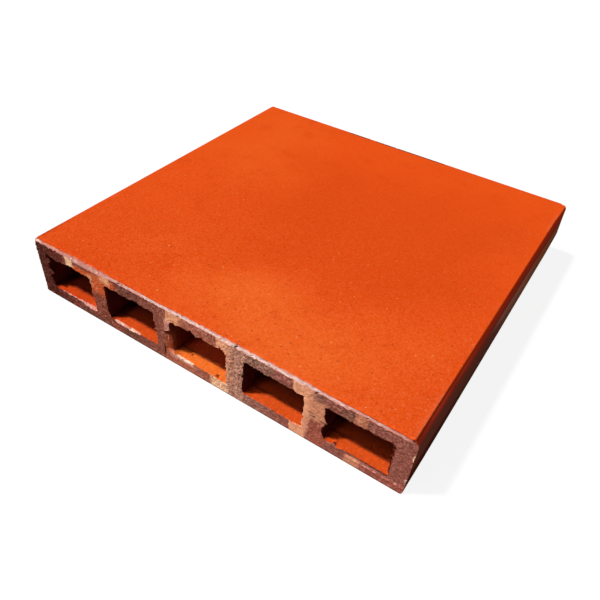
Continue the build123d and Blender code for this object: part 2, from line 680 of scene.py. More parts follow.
class EndPoint:
    """A point near a cut end, how far the wear moves it and how pale or dark it turns."""

    def __init__(self, place):
        self.x, self.y, self.z = place
        self.at_front = self.y < 0
        self.inward = 1.0 if self.at_front else -1.0
        self.behind = HALF_LENGTH - abs(self.y)
        self.along = along_end(self.x, self.y)
        self.seed = 0.0 if self.at_front else 70.0
        self.push_x = 0.0
        self.push_y = 0.0
        self.push_z = 0.0
        self.pale = 0.0
        self.dark = 0.0

    def ragged(self, size, layer):
        """Noise along the end."""
        return rough(self.along, self.seed, layer * size * 3, size)

    def whiten(self, amount):
        self.pale = max(self.pale, amount)

    def blacken(self, amount):
        self.dark = max(self.dark, amount)

    def moved(self):
        return self.x + self.push_x, self.y + self.inward * self.push_y, self.z + self.push_z


class EndWear:
    """What the cutting wire, the kiln and handling did to the two ends, with painted shade in the nicks and
    cracks and along some edges, and painted highlights on the lit lips and ledge.
    """

    def __init__(self, section):
        self.section = section

    def warped_sides(self, point):
        """Puts the left side and the back end out a little, and leans the right side in."""
        at_side = ramp(HALF_WIDTH - abs(point.x), *SIDE_BAND)
        if point.x < 0:
            point.push_x -= SIDE_BULGE * at_side * (1 + ramp(point.z, 36, 45))
        else:
            far = ramp(point.y, -0.75 * HALF_LENGTH, HALF_LENGTH)
            point.push_x -= SIDE_LEAN * at_side * far * ramp(point.z, LEAN_HEIGHT, 0)
        if not point.at_front:
            point.push_y -= BACK_BULGE * ramp(point.y, 0, HALF_LENGTH)

    def far_corner(self, point):
        """The upper far right corner: the bevel runs out and the side falls in below it."""
        if point.x < 0 or point.y < BEVEL_RUN_OUT:
            return
        foot = THICKNESS - BEVEL
        inside = HALF_WIDTH - point.x - max(0.0, point.z - foot)
        if inside > SIDE_BAND[0]:
            return
        if point.z > foot - 0.01 and inside < 0.05:
            share = (THICKNESS - point.z) / BEVEL
            widened = (BEVEL - BEVEL_LEFT) * ramp(point.y, BEVEL_RUN_OUT, HALF_LENGTH)
            point.push_x += widened * (1 - share)
            point.push_z += widened * share
        worn = ramp(point.z, LEAN_HEIGHT, foot)
        height = worn - (1 - SIDE_FALL_ABOVE) * ramp(point.z, foot, THICKNESS)
        fall = SIDE_FALL * ramp(point.y, SIDE_FALL_START, HALF_LENGTH)
        point.push_x -= fall * height * ramp(inside, *SIDE_BAND)
        across, along = rounded(inside, point.behind, worn * WORN_CORNER[0], worn * WORN_CORNER[1])
        point.push_x -= across
        point.push_y += along

    def arris_nick(self, point):
        """How deep the point lies in a nick of the upper arris, from 0 to 1."""
        nick = 0.0
        for place, half, low, high in ARRIS_NICKS:
            above = point.z - (low + high) / 2
            across = point.along - place - NICK_SLANT * above
            nick = max(nick, 1.6 * bump_at(across, half) * bump_at(above, (high - low) / 2))
        return min(1.0, nick) * ramp(point.behind, 1.6, 0.4)

    def upper_arris(self, point):
        """The upper arris, worn to a ragged bevel with nicks."""
        along, down = point.along, THICKNESS - point.z
        if down > ARRIS_REACH[0] or point.behind > ARRIS_REACH[1]:
            return
        widened = stretch(along, *WIDE_STRETCH)
        face_leg = FACE_LEG + WIDE_GROWTH * widened
        for start, end, growth in LEG_RAMPS:
            face_leg += growth * ramp(along, start, end)
        for place, reach, growth in LEG_SWELLS:
            face_leg += growth * bump_at(along - place, reach)
        face_leg += 0.5 * point.ragged(7, 1) + 0.6 * point.ragged(2.4, 2)
        top_leg = TOP_LEG + 0.4 * point.ragged(2.3, 3)
        if not point.at_front:
            face_leg *= BACK_SHARES[0]
            top_leg *= BACK_SHARES[1]
        nick = self.arris_nick(point)
        face_leg += 1.2 * nick
        top_leg += 0.8 * nick
        lower, back, share = bevelled(down, point.behind, face_leg, top_leg)
        point.push_z -= lower
        point.push_y += back + 0.5 * nick
        line = ramp(share, 0.7, 0.95) * (0.25 + 0.5 * point.ragged(6, 4))
        line += 0.3 * ramp(along, -141, -148)
        over_top = max(widened, stretch(along, *PALE_STRETCH))
        on_cut = ramp(point.behind, 0.6 + 0.9 * over_top, 0.0) * ramp(along, 147, 141)
        patchy = ramp(along, -60, -100)
        on_cut *= 1 - patchy * (0.05 - 0.8 * point.ragged(4.6, 6) + 0.15 * ramp(down, 1.2, 0.2))
        point.whiten(on_cut * min(1.0, 3.0 * share) * (1 + line))
        # The nicks are painted dark as the shade in them.
        point.blacken(nick)
        # Painted shade along the top just behind the front edge, at the front end only.
        if point.at_front:
            top_edge_painted_shade = ramp(down, 0.3, 0.0) * bump_at(point.behind - 0.6, 0.5) * ramp(along, 143, 139)
            point.blacken(top_edge_painted_shade * (0.22 + 0.3 * point.ragged(9, 5)))

    def lower_arris(self, point):
        """The lower arris, left sharp by the wire, with painted shade along its foot."""
        if point.behind < 1:
            point.push_y -= 0.25 * ramp(point.z, 2.5, 0.3)
            point.blacken(0.6 * ramp(point.z, 1.2, 0.3))

    def upright_arris(self, point):
        """The upright arrises at the two sides, with chips out of the right one."""
        hand = math.copysign(1.0, point.x)
        inside = HALF_WIDTH - abs(point.x)
        inside -= max(0.0, point.z - THICKNESS + BEVEL)
        leg = 0.15 + 0.15 * rough(hand, point.seed, point.z, 2.2) + 1.3 * ramp(point.z, 41, 47)
        chip = 0.0
        if hand * point.inward > 0:
            for place, half, size in SIDE_CHIPS:
                chip = max(chip, size * bump_at(point.z - place, half))
        leg += chip
        aside, back, share = bevelled(inside, point.behind, leg, leg)
        point.push_x -= hand * aside
        point.push_y += back
        point.whiten(1.4 * min(1.0, 3 * share) * min(chip, 1.0))

    def lip_drop(self, along):
        drop = 0.0
        ragged = 0.8 + 0.8 * rough(along, 0, 3, 4.5) + 0.3 * rough(along, 0, 8, 1.8)
        for left, right, depth in BROKEN_LIPS:
            inside = min(along - left, right - along)
            drop = max(drop, depth * ragged * ramp(inside, -0.7, 1.8))
        return drop

    def tear(self, along, z, seed, way_x, way_z):
        """Reach of the rim into the opening. Tall tears move upright rims only, and wide ones level rims."""
        teeth = 0.28 - abs(rough(along, seed + 9, z, 1.9))
        reach = 0.7 * rough(along, seed, z, 3.2) + 1.3 * teeth
        for tear_x, tear_z, tear_reach, wide, tall in TORN_RIMS:
            away = math.hypot((along - tear_x) / wide, (z - tear_z) / tall)
            if away < 1:
                facing = abs(way_x) if tall > 2 * wide else abs(way_z) if wide > 2 * tall else 1.0
                reach += tear_reach * (1 - away) * facing ** 2
        return reach

    def cell_rim(self, point):
        """The rims of the cells, torn by the wire, with broken lips along the floors."""
        section = self.section
        rim, way_x, way_z = section.rim(point.x, point.z, section.radius)
        if rim > RIM_REACH[0] or point.behind > RIM_REACH[1]:
            return
        on_clay = max(rim, 0.0)
        rim_along = point.along - point.inward * way_x * on_clay
        rim_z = point.z - way_z * on_clay
        reach = self.tear(rim_along, rim_z, point.seed, way_x, way_z)
        depth = BURR_DEPTH if reach > 0 else TEAR_DEPTH
        fade = max(0.0, 1 - on_clay / max(5, 2.3 * abs(reach))) ** 2 * math.exp(-point.behind / depth)
        point.push_x -= way_x * reach * fade
        point.push_z -= way_z * reach * fade
        leg = 0.3 + 0.4 * rough(rim_along, point.seed, rim_z, 1.9)
        drop = self.lip_drop(rim_along) if way_z < -0.7 else 0.0
        leg = max(leg, drop)
        aside, back, share = bevelled(on_clay, point.behind, leg, leg * 0.8)
        point.push_x += way_x * aside
        point.push_z += way_z * aside
        point.push_y += back
        chalky = 1.05 + 0.9 * rough(rim_along, point.behind, rim_z, 3.0)
        strip = ramp(point.behind, 1.8, 0.4)
        # The broken lips are painted pale: partly pale scum, partly a painted highlight on their lit tops.
        point.whiten(min(1.0, 4 * share) * min(1.4 * drop, 1.0) * chalky * strip)

    def broken_wall(self, point):
        """The scoop that broke out beside the notch of the middle cell."""
        left, right, low, high, depth = BROKEN_WALL
        if point.behind > BREAK_REACH or not left < point.along < right + 0.5:
            return
        upright = stretch(point.z, low, low + 2, high - 2, high)
        across = ramp(point.along, left, right)
        point.push_y += depth * across * upright * (1 - point.behind / BREAK_REACH)

    def cut_face(self, point):
        """Grain and cracks of the cut, with painted shade in the cracks, and the ledge that the wire left
        low on the right, with a painted highlight along its top and painted shade below it.
        """
        if point.behind > ON_END:
            return
        along, seed, z = point.along, point.seed, point.z
        above_bed = ramp(z, 0.3, 2.5)
        sandy = 1 + 1.2 * bump_at(along - SANDY_PART[0], SANDY_PART[1])
        grain = 0.32 * rough(along, seed, z, 1.4) + 0.2 * rough(along, seed, z, 3.0)
        waves = 0.12 * rough(along, seed, z * 0.2, 4.0) + 0.2 * rough(along, seed, z, 17)
        point.push_y += above_bed * (sandy * grain + waves)
        for crack in CRACKS:
            groove = on_line(along, z, *crack)
            point.push_y += 0.6 * groove
            # Painted shade in the cracks.
            point.blacken(groove)
        for line in CHALK_LINES:
            point.whiten(on_line(along, z, *line) * (0.5 + 0.5 * rough(along, seed, z, 1.8)))
        ledge = ramp(along, *LEDGE_START)
        point.push_y += ledge * LEDGE_DEPTH * ramp(z, LEDGE_HEIGHT - 0.6, LEDGE_HEIGHT + 0.6)
        # A painted highlight along the ledge's lit top edge, and painted shade in a line below it.
        broken = 0.25 + 0.75 * rough(along, seed, 0, 2.6) + 0.4 * bump_at(along - 125, 5)
        point.whiten(ledge * bump_at(z - LEDGE_HEIGHT, 0.75) * broken)
        point.blacken(0.3 * ledge * bump_at(z - LEDGE_HEIGHT + 1.3, 0.7))

    def shape(self, vert, worn, soot):
        """Moves one vertex near a cut end and paints how worn it is, with painted highlights on lit lips,
        and how dark, mostly as painted shade.
        """
        point = EndPoint(vert.co)
        self.warped_sides(point)
        self.far_corner(point)
        self.upper_arris(point)
        self.lower_arris(point)
        self.upright_arris(point)
        self.cell_rim(point)
        self.broken_wall(point)
        self.cut_face(point)
        vert.co = point.moved()
        vert[worn] = point.pale
        vert[soot] = point.dark


def wear_ends(bm, section):
    worn = bm.verts.layers.float.new("worn")
    soot = bm.verts.layers.float.new("soot")
    wear = EndWear(section)
    for vert in bm.verts:
        wear.shape(vert, worn, soot)


# Node helpers


class Signal:
    """A value in a node net, to reckon with as with a number."""

    def __init__(self, net, socket):
        self.net = net
        self.socket = socket

    def __add__(self, other):
        return self.net.math("ADD", self, other)

    def __sub__(self, other):
        return self.net.math("SUBTRACT", self, other)

    def __rsub__(self, other):
        return self.net.math("SUBTRACT", other, self)

    def __mul__(self, other):
        return self.net.math("MULTIPLY", self, other)

    def __truediv__(self, other):
        return self.net.math("DIVIDE", self, other)

    def __rtruediv__(self, other):
        return self.net.math("DIVIDE", other, self)

    def __abs__(self):
        return self.net.math("ABSOLUTE", self)

    def larger(self, other):
        """The larger of the two."""
        return self.net.math("MAXIMUM", self, other)

    def step(self, low, high):
        """0 below low and 1 above high, with a smooth step between. High may be the lower of the two."""
        inputs = {
            "Value": self,
            "From Min": min(low, high),
            "From Max": max(low, high),
            "To Min": float(low > high),
            "To Max": float(low < high)}
        return self.net.out("Result", "ShaderNodeMapRange", inputs, interpolation_type="SMOOTHSTEP")

    def parts(self, kind="ShaderNodeSeparateXYZ"):
        """The three parts of a vector, or of a colour."""
        return [Signal(self.net, socket) for socket in self.net.add(kind, {0: self}).outputs]


class NodeNet:
    """A node tree, with short ways to add what the materials are made of."""

    def __init__(self, tree):
        self.tree = tree

    def add(self, kind, inputs=None, **settings):
        node = self.tree.nodes.new(kind)
        for name, value in settings.items():
            setattr(node, name, value)
        for key, value in (inputs or {}).items():
            if isinstance(value, Signal):
                self.tree.links.new(value.socket, node.inputs[key])
            else:
                node.inputs[key].default_value = value
        return node

    def out(self, output, kind, inputs=None, **settings):
        """Adds a node and gives one of its outputs."""
        return Signal(self, self.add(kind, inputs, **settings).outputs[output])

    def outs(self, kind, inputs=None, **settings):
        """Adds a node and gives its outputs by their names."""
        node = self.add(kind, inputs, **settings)
        return {socket.name: Signal(self, socket) for socket in node.outputs}

    def use(self, group, inputs):
        return self.outs("ShaderNodeGroup", inputs, node_tree=group)

    def math(self, operation, first, second=0.0, clamp=False):
        return self.out(0, "ShaderNodeMath", {0: first, 1: second}, operation=operation, use_clamp=clamp)

    def vector(self, operation, first, second):
        return self.out(0, "ShaderNodeVectorMath", {0: first, 1: second}, operation=operation)

    def blend(self, factor, first, second, mode="MIX"):
        inputs = {0: factor, 6: first, 7: second}
        return self.out(2, "ShaderNodeMix", inputs, data_type="RGBA", blend_type=mode)

    def shade(self, colour, level):
        return self.blend(1.0, colour, level, "MULTIPLY")

    def noise(self, point, scale, detail, roughness, output="Fac"):
        inputs = {"Vector": point, "Scale": scale, "Detail": detail, "Roughness": roughness}
        return self.out(output, "ShaderNodeTexNoise", inputs)

    def drift(self, point, scale, detail, roughness, reach):
        """A shift that wanders from place to place, half as far as its reach to either side."""
        wander = self.vector("SUBTRACT", self.noise(point, scale, detail, roughness, "Color"), HALF)
        return self.vector("MULTIPLY", wander, reach)

    def painted(self, name):
        return self.out("Fac", "ShaderNodeAttribute", attribute_name=name)


ORIGIN = (0.0, 0.0, 0.0)
HALF = (0.5, 0.5, 0.5)
UNIT = (1.0, 1.0, 1.0)


def fresh_net(owner):
    """The emptied node net of a material or a world."""
    owner.use_nodes = True
    owner.node_tree.nodes.clear()
    return NodeNet(owner.node_tree)


def new_group(name, inputs, outputs):
    """A shader node group with named sockets: returns its net and the signals that it is given."""
    group = bpy.data.node_groups.new(name, "ShaderNodeTree")
    for label, default in inputs.items():
        kind = "NodeSocketVector" if isinstance(default, tuple) else "NodeSocketFloat"
        socket = group.interface.new_socket(name=label, in_out="INPUT", socket_type=kind)
        socket.default_value = default
    for label in outputs:
        group.interface.new_socket(name=label, in_out="OUTPUT", socket_type="NodeSocketFloat")
    net = NodeNet(group)
    return net, net.outs("NodeGroupInput")


def make_clay_grain():
    """Sandy grain of fired clay, from 0 for the dark grains to 1 for the pale ones, and its relief."""
    net, given = new_group("clay_grain", {"Point": ORIGIN, "Size": 1.0}, ("Grain", "Relief"))
    scaled = {0: given["Point"], "Scale": 1.0 / given["Size"]}
    point = net.out(0, "ShaderNodeVectorMath", scaled, operation="SCALE")
    lumps = net.noise(point, 0.8, 3.0, 0.65)
    fine = net.noise(point, 2.6, 2.0, 0.6)
    sand = net.out("Color", "ShaderNodeTexVoronoi", {"Vector": point, "Scale": 1.3})
    draw = sand.parts("ShaderNodeSeparateColor")[0]
    relief = lumps * 0.6 + fine * 0.4
    grain = relief.step(0.33, 0.67) * 0.5 + draw * 0.5
    net.add("NodeGroupOutput", {"Grain": grain, "Relief": relief})
    return net.tree


def make_clay_specks():
    """Round specks scattered through the clay."""
    inputs = {"Point": ORIGIN, "Spacing": 3.0, "Share": 0.3, "Radius": 0.5}
    net, given = new_group("clay_specks", inputs, ("Mask",))
    spacing = given["Spacing"]
    places = net.outs("ShaderNodeTexVoronoi", {"Vector": given["Point"], "Scale": 1.0 / spacing})
    chance, size, faintness = places["Color"].parts("ShaderNodeSeparateColor")
    radius = given["Radius"] * (size + 0.4)
    spot = net.math("SUBTRACT", 1.0, places["Distance"] * spacing / radius, clamp=True)
    chosen = net.math("LESS_THAN", chance, given["Share"])
    strength = faintness * faintness * 0.85 + 0.15
    net.add("NodeGroupOutput", {"Mask": spot.step(0.0, 0.6) * chosen * strength})
    return net.tree


def make_box_mark():
    """A mark that fills a box, with its own fade on the low and the high side of each axis."""
    inputs = {
        "Point": ORIGIN, "Low": ORIGIN, "High": UNIT,
        "Low Fade": UNIT, "High Fade": UNIT, "Strength": 1.0}
    net, given = new_group("kiln_mark", inputs, ("Mask",))
    above = net.vector("SUBTRACT", given["Point"], given["Low"])
    below = net.vector("SUBTRACT", given["High"], given["Point"])
    mask = given["Strength"]
    for inside, fade in ((above, "Low Fade"), (below, "High Fade")):
        share = net.vector("ADD", net.vector("DIVIDE", inside, given[fade]), HALF)
        for part in share.parts():
            mask = mask * part.step(0.0, 1.0)
    net.add("NodeGroupOutput", {"Mask": mask})
    return net.tree


def make_edge_wear():
    """Ragged mask of worn and broken edges, from the wear painted on the mesh, and how whitish they are."""
    inputs = {"Point": ORIGIN, "Wear": 0.0, "Raggedness": 0.65}
    net, given = new_group("edge_wear", inputs, ("Mask", "Whiteness"))
    wear = given["Wear"]
    drawn = net.vector("MULTIPLY", given["Point"], (0.4, 1.0, 1.0))
    shift = (net.noise(drawn, 0.9, 3.0, 0.6) - 0.5) * given["Raggedness"]
    x, _, _ = given["Point"].parts()
    middle = abs(x - CHALKY_MIDDLE).step(150.0, 20.0)
    chalk = net.noise(drawn, 0.6, 3.0, 0.7) + (middle - 0.7) * 0.35
    white = chalk.step(0.32, 0.66) * wear.step(0.3, 1.0)
    net.add("NodeGroupOutput", {
        "Mask": (wear + shift).step(0.15, 0.55),
        "Whiteness": white.larger(wear.step(1.0, 1.35))})
    return net.tree


# Specks in the skin: spacing, share of the places that hold one, radius, strength, tone.
SKIN_SPECKS = (
    (2.1, 0.5, 0.75, 0.5, "speck_dark"),
    (4.2, 0.5, 0.85, 0.75, "speck_dark"),
    (9.0, 0.55, 1.15, 0.95, "speck_dark"),
    (4.6, 0.25, 0.7, 0.7, "speck_pale"),
)

# Pale scuffs on the top beside the right edge: left, right, near, far, strength. Their strokes are turned.
TOP_SCUFFS = (
    (128, 147, -146, -100, 0.55),
    (136, 147, -100, -40, 0.4),
    (118, 146, 40, 90, 0.25),
)
SCUFF_LOW_FADE = (14, 10, 1)
SCUFF_HIGH_FADE = (1, 30, 1)
SCUFF_TURN = math.radians(35)

# Skin rubbed pale on the top along the right bevel: near, far, strength.
RUBBED_STRIPS = ((-146, -106, 0.09), (98, 128, 0.08))

# Size of the grain on the skin, on the cut ends and in the cells, and its bump: strength, depth.
SKIN_GRAIN, SKIN_BUMP = 1.2, (0.35, 0.3)
CUT_GRAIN, CUT_BUMP = 1.45, (0.8, 0.8)
CELL_GRAIN, CELL_BUMP = 1.3, (0.4, 0.4)
CUT_ROUGHNESS = 0.85

# Where the worn arris is whitest, on x.
CHALKY_MIDDLE = 22.0

# Middle of the sandy web, on x.
SANDY_WEB = 28.5

# A place beyond the tile on any axis.
FAR_OUT = 4 * HALF_WIDTH


class Coat:
    """A material of the tile while it is made: its net, the place on the tile and the colour so far."""

    def __init__(self, name, colour):
        self.material = bpy.data.materials.new(name)
        self.net = fresh_net(self.material)
        place = self.net.out("Object", "ShaderNodeTexCoord")
        self.point = self.net.vector("MULTIPLY", place, (1 / MM, 1 / MM, 1 / MM))
        self.x, self.y, self.z = self.point.parts()
        self.colour = colour

    def lay(self, mask, tone):
        """Lays a tone over the colour as far as the mask lets it."""
        self.colour = self.net.blend(mask, self.colour, tone)

    def shade(self, level):
        self.colour = self.net.shade(self.colour, level)

    def close(self, roughness, relief, strength, distance):
        bump = {"Height": relief, "Strength": strength, "Distance": distance * MM}
        shader = self.net.out(0, "ShaderNodeBsdfPrincipled", {
            "Base Color": self.colour,
            "Roughness": roughness,
            "Normal": self.net.out("Normal", "ShaderNodeBump", bump),
            "Specular IOR Level": 0.0})
        self.net.add("ShaderNodeOutputMaterial", {"Surface": shader})
        return self.material


class ClayShaders:
    """The tile's materials and the node groups that they share."""

    def __init__(self, finish, section):
        self.finish = finish
        self.section = section
        self.grain = make_clay_grain()
        self.specks = make_clay_specks()
        self.mark = make_box_mark()
        self.wear = make_edge_wear()

    def mask_of(self, mark, point, lies_flat=True):
        """Mask of a mark whose low and high sides lie on y, or on z when it doesn't lie flat."""
        fade_left, fade_right, fade_low, fade_high = mark.fades

        def placed(across, other, rest):
            return (across, other, rest) if lies_flat else (across, rest, other)

        return point.net.use(self.mark, {
            "Point": point,
            "Low": placed(mark.left, mark.low, -FAR_OUT),
            "High": placed(mark.right, mark.high, FAR_OUT),
            "Low Fade": placed(fade_left, fade_low, 1),
            "High Fade": placed(fade_right, fade_high, 1),
            "Strength": mark.strength})["Mask"]

    def grain_of(self, point, size):
        return point.net.use(self.grain, {"Point": point, "Size": size})

    def specks_of(self, point, spacing, share, radius):
        inputs = {"Point": point, "Spacing": spacing, "Share": share, "Radius": radius}
        return point.net.use(self.specks, inputs)["Mask"]

    def worn_over(self, coat):
        """Adds the pale worn edges, with the painted highlights on the lips and the ledge, and the painted
        shade of the nicks, cracks and edge lines that the mesh carries.
        """
        net, finish = coat.net, self.finish
        worn = net.use(self.wear, {"Point": coat.point, "Wear": net.painted("worn")})
        at_lips = coat.z.step(16.0, 11.0)
        at_chips = coat.x.step(HALF_WIDTH - 4.5, HALF_WIDTH - 2.5)
        white = net.blend(at_lips.larger(at_chips), finish.worn_white, finish.lip_white)
        chalk = net.blend(worn["Whiteness"], finish.worn_lip, white)
        drawn = net.vector("MULTIPLY", coat.point, (0.5, 1.0, 1.0))
        level = self.grain_of(drawn, 1.0)["Grain"] * 0.3 + 0.84
        coat.lay(worn["Mask"], net.shade(chalk, level))
        coat.lay(net.painted("soot"), finish.soot)

    def skin_grain(self, coat, grain):
        """Fine grain and specks of the orange skin, plainer towards the back."""
        amount = coat.y.step(0.8 * HALF_LENGTH, -HALF_LENGTH) * 0.7 + 0.3
        coat.lay(grain.step(0.55, 0.15) * amount * 0.24, self.finish.grain_dark)
        coat.lay(grain.step(0.5, 0.9) * amount * 0.06, self.finish.grain_pale)
        for spacing, share, radius, strength, tone in SKIN_SPECKS:
            specks = self.specks_of(coat.point, spacing, share, radius)
            coat.lay(specks * (amount * strength), getattr(self.finish, tone))

    def skin_scuffs(self, coat):
        """Pale scuffs that run in from the right edge, and the skin rubbed along it."""
        net, tone = coat.net, self.finish.scuff
        turn = {"Vector": coat.point, "Angle": SCUFF_TURN}
        turned = net.out(0, "ShaderNodeVectorRotate", turn, rotation_type="Z_AXIS")
        drawn = net.vector("MULTIPLY", turned, (0.25, 1.0, 1.0))
        strokes = net.noise(drawn, 0.8, 3.0, 0.7).step(0.58, 0.74)
        for left, right, near, far, strength in TOP_SCUFFS:
            mark = net.use(self.mark, {
                "Point": coat.point, "Low": (left, near, 0), "High": (right, far, 2 * THICKNESS),
                "Low Fade": SCUFF_LOW_FADE, "High Fade": SCUFF_HIGH_FADE, "Strength": strength})
            coat.lay(mark["Mask"] * strokes, tone)
        edge = HALF_WIDTH - BEVEL
        for near, far, strength in RUBBED_STRIPS:
            rubbed = Mark(edge - 2, edge + 1, near, far, (3, 1, 8, 8), "scuff", strength)
            coat.lay(self.mask_of(rubbed, coat.point), tone)

    def upright_side(self, coat, streaks, near):
        """Tone of the upright sides, streaked with grey towards the back and dark at the near foot."""
        net, finish, y, z = coat.net, self.finish, coat.y, coat.z
        far = y.step(-0.15 * HALF_LENGTH, 0.5 * HALF_LENGTH)
        side = net.blend(far, finish.skin_side, finish.side_far)
        streaked = streaks.step(0.52, 0.68) * far
        midway = (y + z * 1.6).step(26.0, 56.0) * y.step(78.0, 42.0)
        high = z.step(24.0, 38.0) * 0.7 + 0.25
        side = net.blend((streaked * 0.7).larger(midway * high), side, finish.side_grey)
        foot = z.step(25.0, 13.0) * near
        return net.blend(foot * 0.9, side, finish.edge_low)

    def browned_edges(self, coat):
        """The long bevels and upright sides, their skin browner from the fire, with a dark line along the
        bevel's top.
        """
        net, finish, x, y, z = coat.net, self.finish, coat.x, coat.y, coat.z
        down = THICKNESS - z
        inner = HALF_WIDTH - BEVEL
        beside = abs(x).step(inner - 0.8, inner - 0.3)
        drawn = net.out(0, "ShaderNodeCombineXYZ", {"X": x, "Y": y * 0.06, "Z": z})
        streaks = net.noise(drawn, 0.4, 3.0, 0.6)
        near = y.step(-0.2 * HALF_LENGTH, -0.8 * HALF_LENGTH)
        edge = net.blend(near, finish.edge_far, finish.skin_edge)
        edge = net.blend(streaks.step(0.5, 0.7) * 0.6, edge, finish.edge_line)
        edge = net.blend(down.step(1.6, 3.2), edge, finish.edge_low)
        line = net.blend(near, finish.edge_far, finish.edge_line)
        at_corner = y.step(-105.0, -135.0) * 0.3
        coat.lay(x.step(2.4 - inner, 0.4 - inner) * at_corner, finish.edge_line)
        at_left = x.step(1.0, -1.0)
        fallen = down - at_left * 1.4
        coat.lay(fallen.step(0.1, 0.8) * beside, line)
        coat.lay(fallen.step(0.7, 1.3) * beside, edge)
        sided = down.step(BEVEL - 0.1, BEVEL + 0.3) * beside
        coat.lay(sided, self.upright_side(coat, streaks, near))

    def orange_skin(self):
        """The top, the bed, the long bevels and the upright sides."""
        finish = self.finish
        coat = Coat("fired_orange_skin", finish.skin)
        net, point = coat.net, coat.point
        drifted = net.vector("ADD", point, net.drift(point, 0.016, 2.0, 0.5, (120, 120, 0)))
        for mark in TOP_MARKS:
            coat.lay(self.mask_of(mark, drifted), getattr(finish, mark.tone))
        mottle = net.noise(point, 0.05, 4.0, 0.6)
        coat.lay(mottle.step(0.5, 0.75) * 0.6, finish.skin_deep)
        grain = self.grain_of(point, SKIN_GRAIN)
        self.skin_grain(coat, grain["Grain"])
        self.skin_scuffs(coat)
        for left, right, fade_left, fade_right in FAR_ARRIS_DARK_STRIPS:
            fades = (fade_left, fade_right, 0.8, 1)
            dark_strip = Mark(left, right, HALF_LENGTH - 1.0, HALF_LENGTH + 9, fades, "arris_burn", 0.9)
            coat.lay(self.mask_of(dark_strip, point), finish.arris_burn)
        self.browned_edges(coat)
        self.worn_over(coat)
        return coat.close(grain["Grain"] * 0.15 + 0.72, grain["Relief"], *SKIN_BUMP)

    def flash(self, along):
        """The tone of the flash along the end."""
        node = along.net.add("ShaderNodeValToRGB", {"Fac": (along + HALF_WIDTH) / (2 * HALF_WIDTH)})
        stops = node.color_ramp.elements
        for index, (place, tone) in enumerate(FLASH_ALONG_END):
            share = (place + HALF_WIDTH) / (2 * HALF_WIDTH)
            stop = stops[index] if index < 2 else stops.new(share)
            stop.position = share
            stop.color = TONES[tone]
        return Signal(along.net, node.outputs["Color"])

    def web_grain(self, along, height):
        """How rough the cut is: fully over the cells, at the left and on the sandy web, less elsewhere."""
        over_cells = height.step(33.0, 39.0)
        at_left = along.step(-60.0, -85.0)
        on_sandy = abs(along - SANDY_WEB).step(14.0, 8.0)
        right_of_corner = along.step(-134.0, -112.0)
        return over_cells.larger(at_left.larger(on_sandy)) * right_of_corner * 0.32 + 0.68

    def cut_end(self, name, left, right):
        """One half of the cut ends, with the kiss marks that reach between left and right."""
        coat = Coat(name, None)
        net, point, x = coat.net, coat.point, coat.x
        at_back = net.math("GREATER_THAN", coat.y, 0.0)
        along = x + at_back * (BACK_END_SHIFT - x - x)
        flat = net.out(0, "ShaderNodeCombineXYZ", {"X": along, "Z": coat.z})
        ragged = net.vector("ADD", flat, net.drift(point, 0.3, 4.0, 0.65, (3.0, 0.0, 6.0)))
        coat.colour = self.flash(ragged.parts()[0])
        smooth = 0.0
        for mark in KISS_MARKS_AND_PAINTED_SHADE:
            if mark.right + MARK_REACH < left or mark.left - MARK_REACH > right:
                continue
            mask = self.mask_of(mark, ragged, lies_flat=False)
            coat.lay(mask, TONES[mark.tone])
            if mark.tone in SMOOTH_TONES:
                smooth = mask.larger(smooth)
        coarse = (1.0 - smooth * 0.55) * self.web_grain(along, coat.z)
        mottle = net.noise(point, 0.3, 3.0, 0.6)
        coat.lay(mottle.step(0.52, 0.68) * smooth * 0.2, TONES["cream"])
        coat.lay(mottle.step(0.48, 0.32) * smooth * 0.35, TONES["terracotta"])
        sandy = net.noise(point, 1.9, 3.0, 0.7)
        for mark, low, high in SAND_LUMPS:
            lump = sandy.step(low, high) * coarse
            coat.lay(self.mask_of(mark, ragged, lies_flat=False) * lump, TONES[mark.tone])
        grain = self.grain_of(point, CUT_GRAIN)
        coat.lay(coarse, net.shade(coat.colour, grain["Grain"] * 1.2 + 0.4))
        coat.lay(grain["Grain"].step(0.5, 0.9) * coarse * 0.16, TONES["pale grain"])
        coat.lay(self.specks_of(point, 3.1, 0.4, 0.9) * 0.5 * coarse, self.finish.soot)
        self.worn_over(coat)
        return coat.close(CUT_ROUGHNESS, grain["Relief"], *CUT_BUMP)

    def floor_painted_shade(self, coat, behind):
        """Painted shade on the cell floors along the walls at their left, most in the left cells."""
        from_wall = coat.x + (HALF_WIDTH - self.section.side + 1.0)
        from_wall = coat.net.math("MODULO", from_wall, self.section.pitch)
        leftmost = coat.x.step(-40.0, -60.0)
        inside = from_wall.step(16.0, 0.0) * 0.2 * behind.step(6.0, 12.0)
        at_mouth = from_wall.step(8.0, 1.0) * (leftmost * 0.35 + 0.4)
        blocked = from_wall.step(11.0, 5.0) * behind.step(2.0, 5.0)
        at_mouth = at_mouth.larger(blocked * leftmost * 0.7)
        floor = self.section.bed
        return inside.larger(at_mouth) * coat.z.step(floor + 1.4, floor + 0.6)

    def cell_wall(self):
        """The insides of the cells, bright on the floors of their mouths, with painted shade deeper in and
        on the walls.
        """
        finish = self.finish
        coat = Coat("cell_wall", finish.cell)
        net, point, floor = coat.net, coat.point, self.section.bed
        behind = HALF_LENGTH - abs(coat.y)
        middle = abs(coat.x).step(34.0, 24.0)
        left = coat.x.step(-20.0, -130.0)
        coat.lay(middle, finish.cell_pale)
        coat.lay(left * 0.4, finish.cell_red)
        drawn = net.vector("MULTIPLY", point, (1.0, 0.04, 1.0))
        coat.shade(net.noise(drawn, 0.6, 3.0, 0.6) * 0.3 + 0.85)
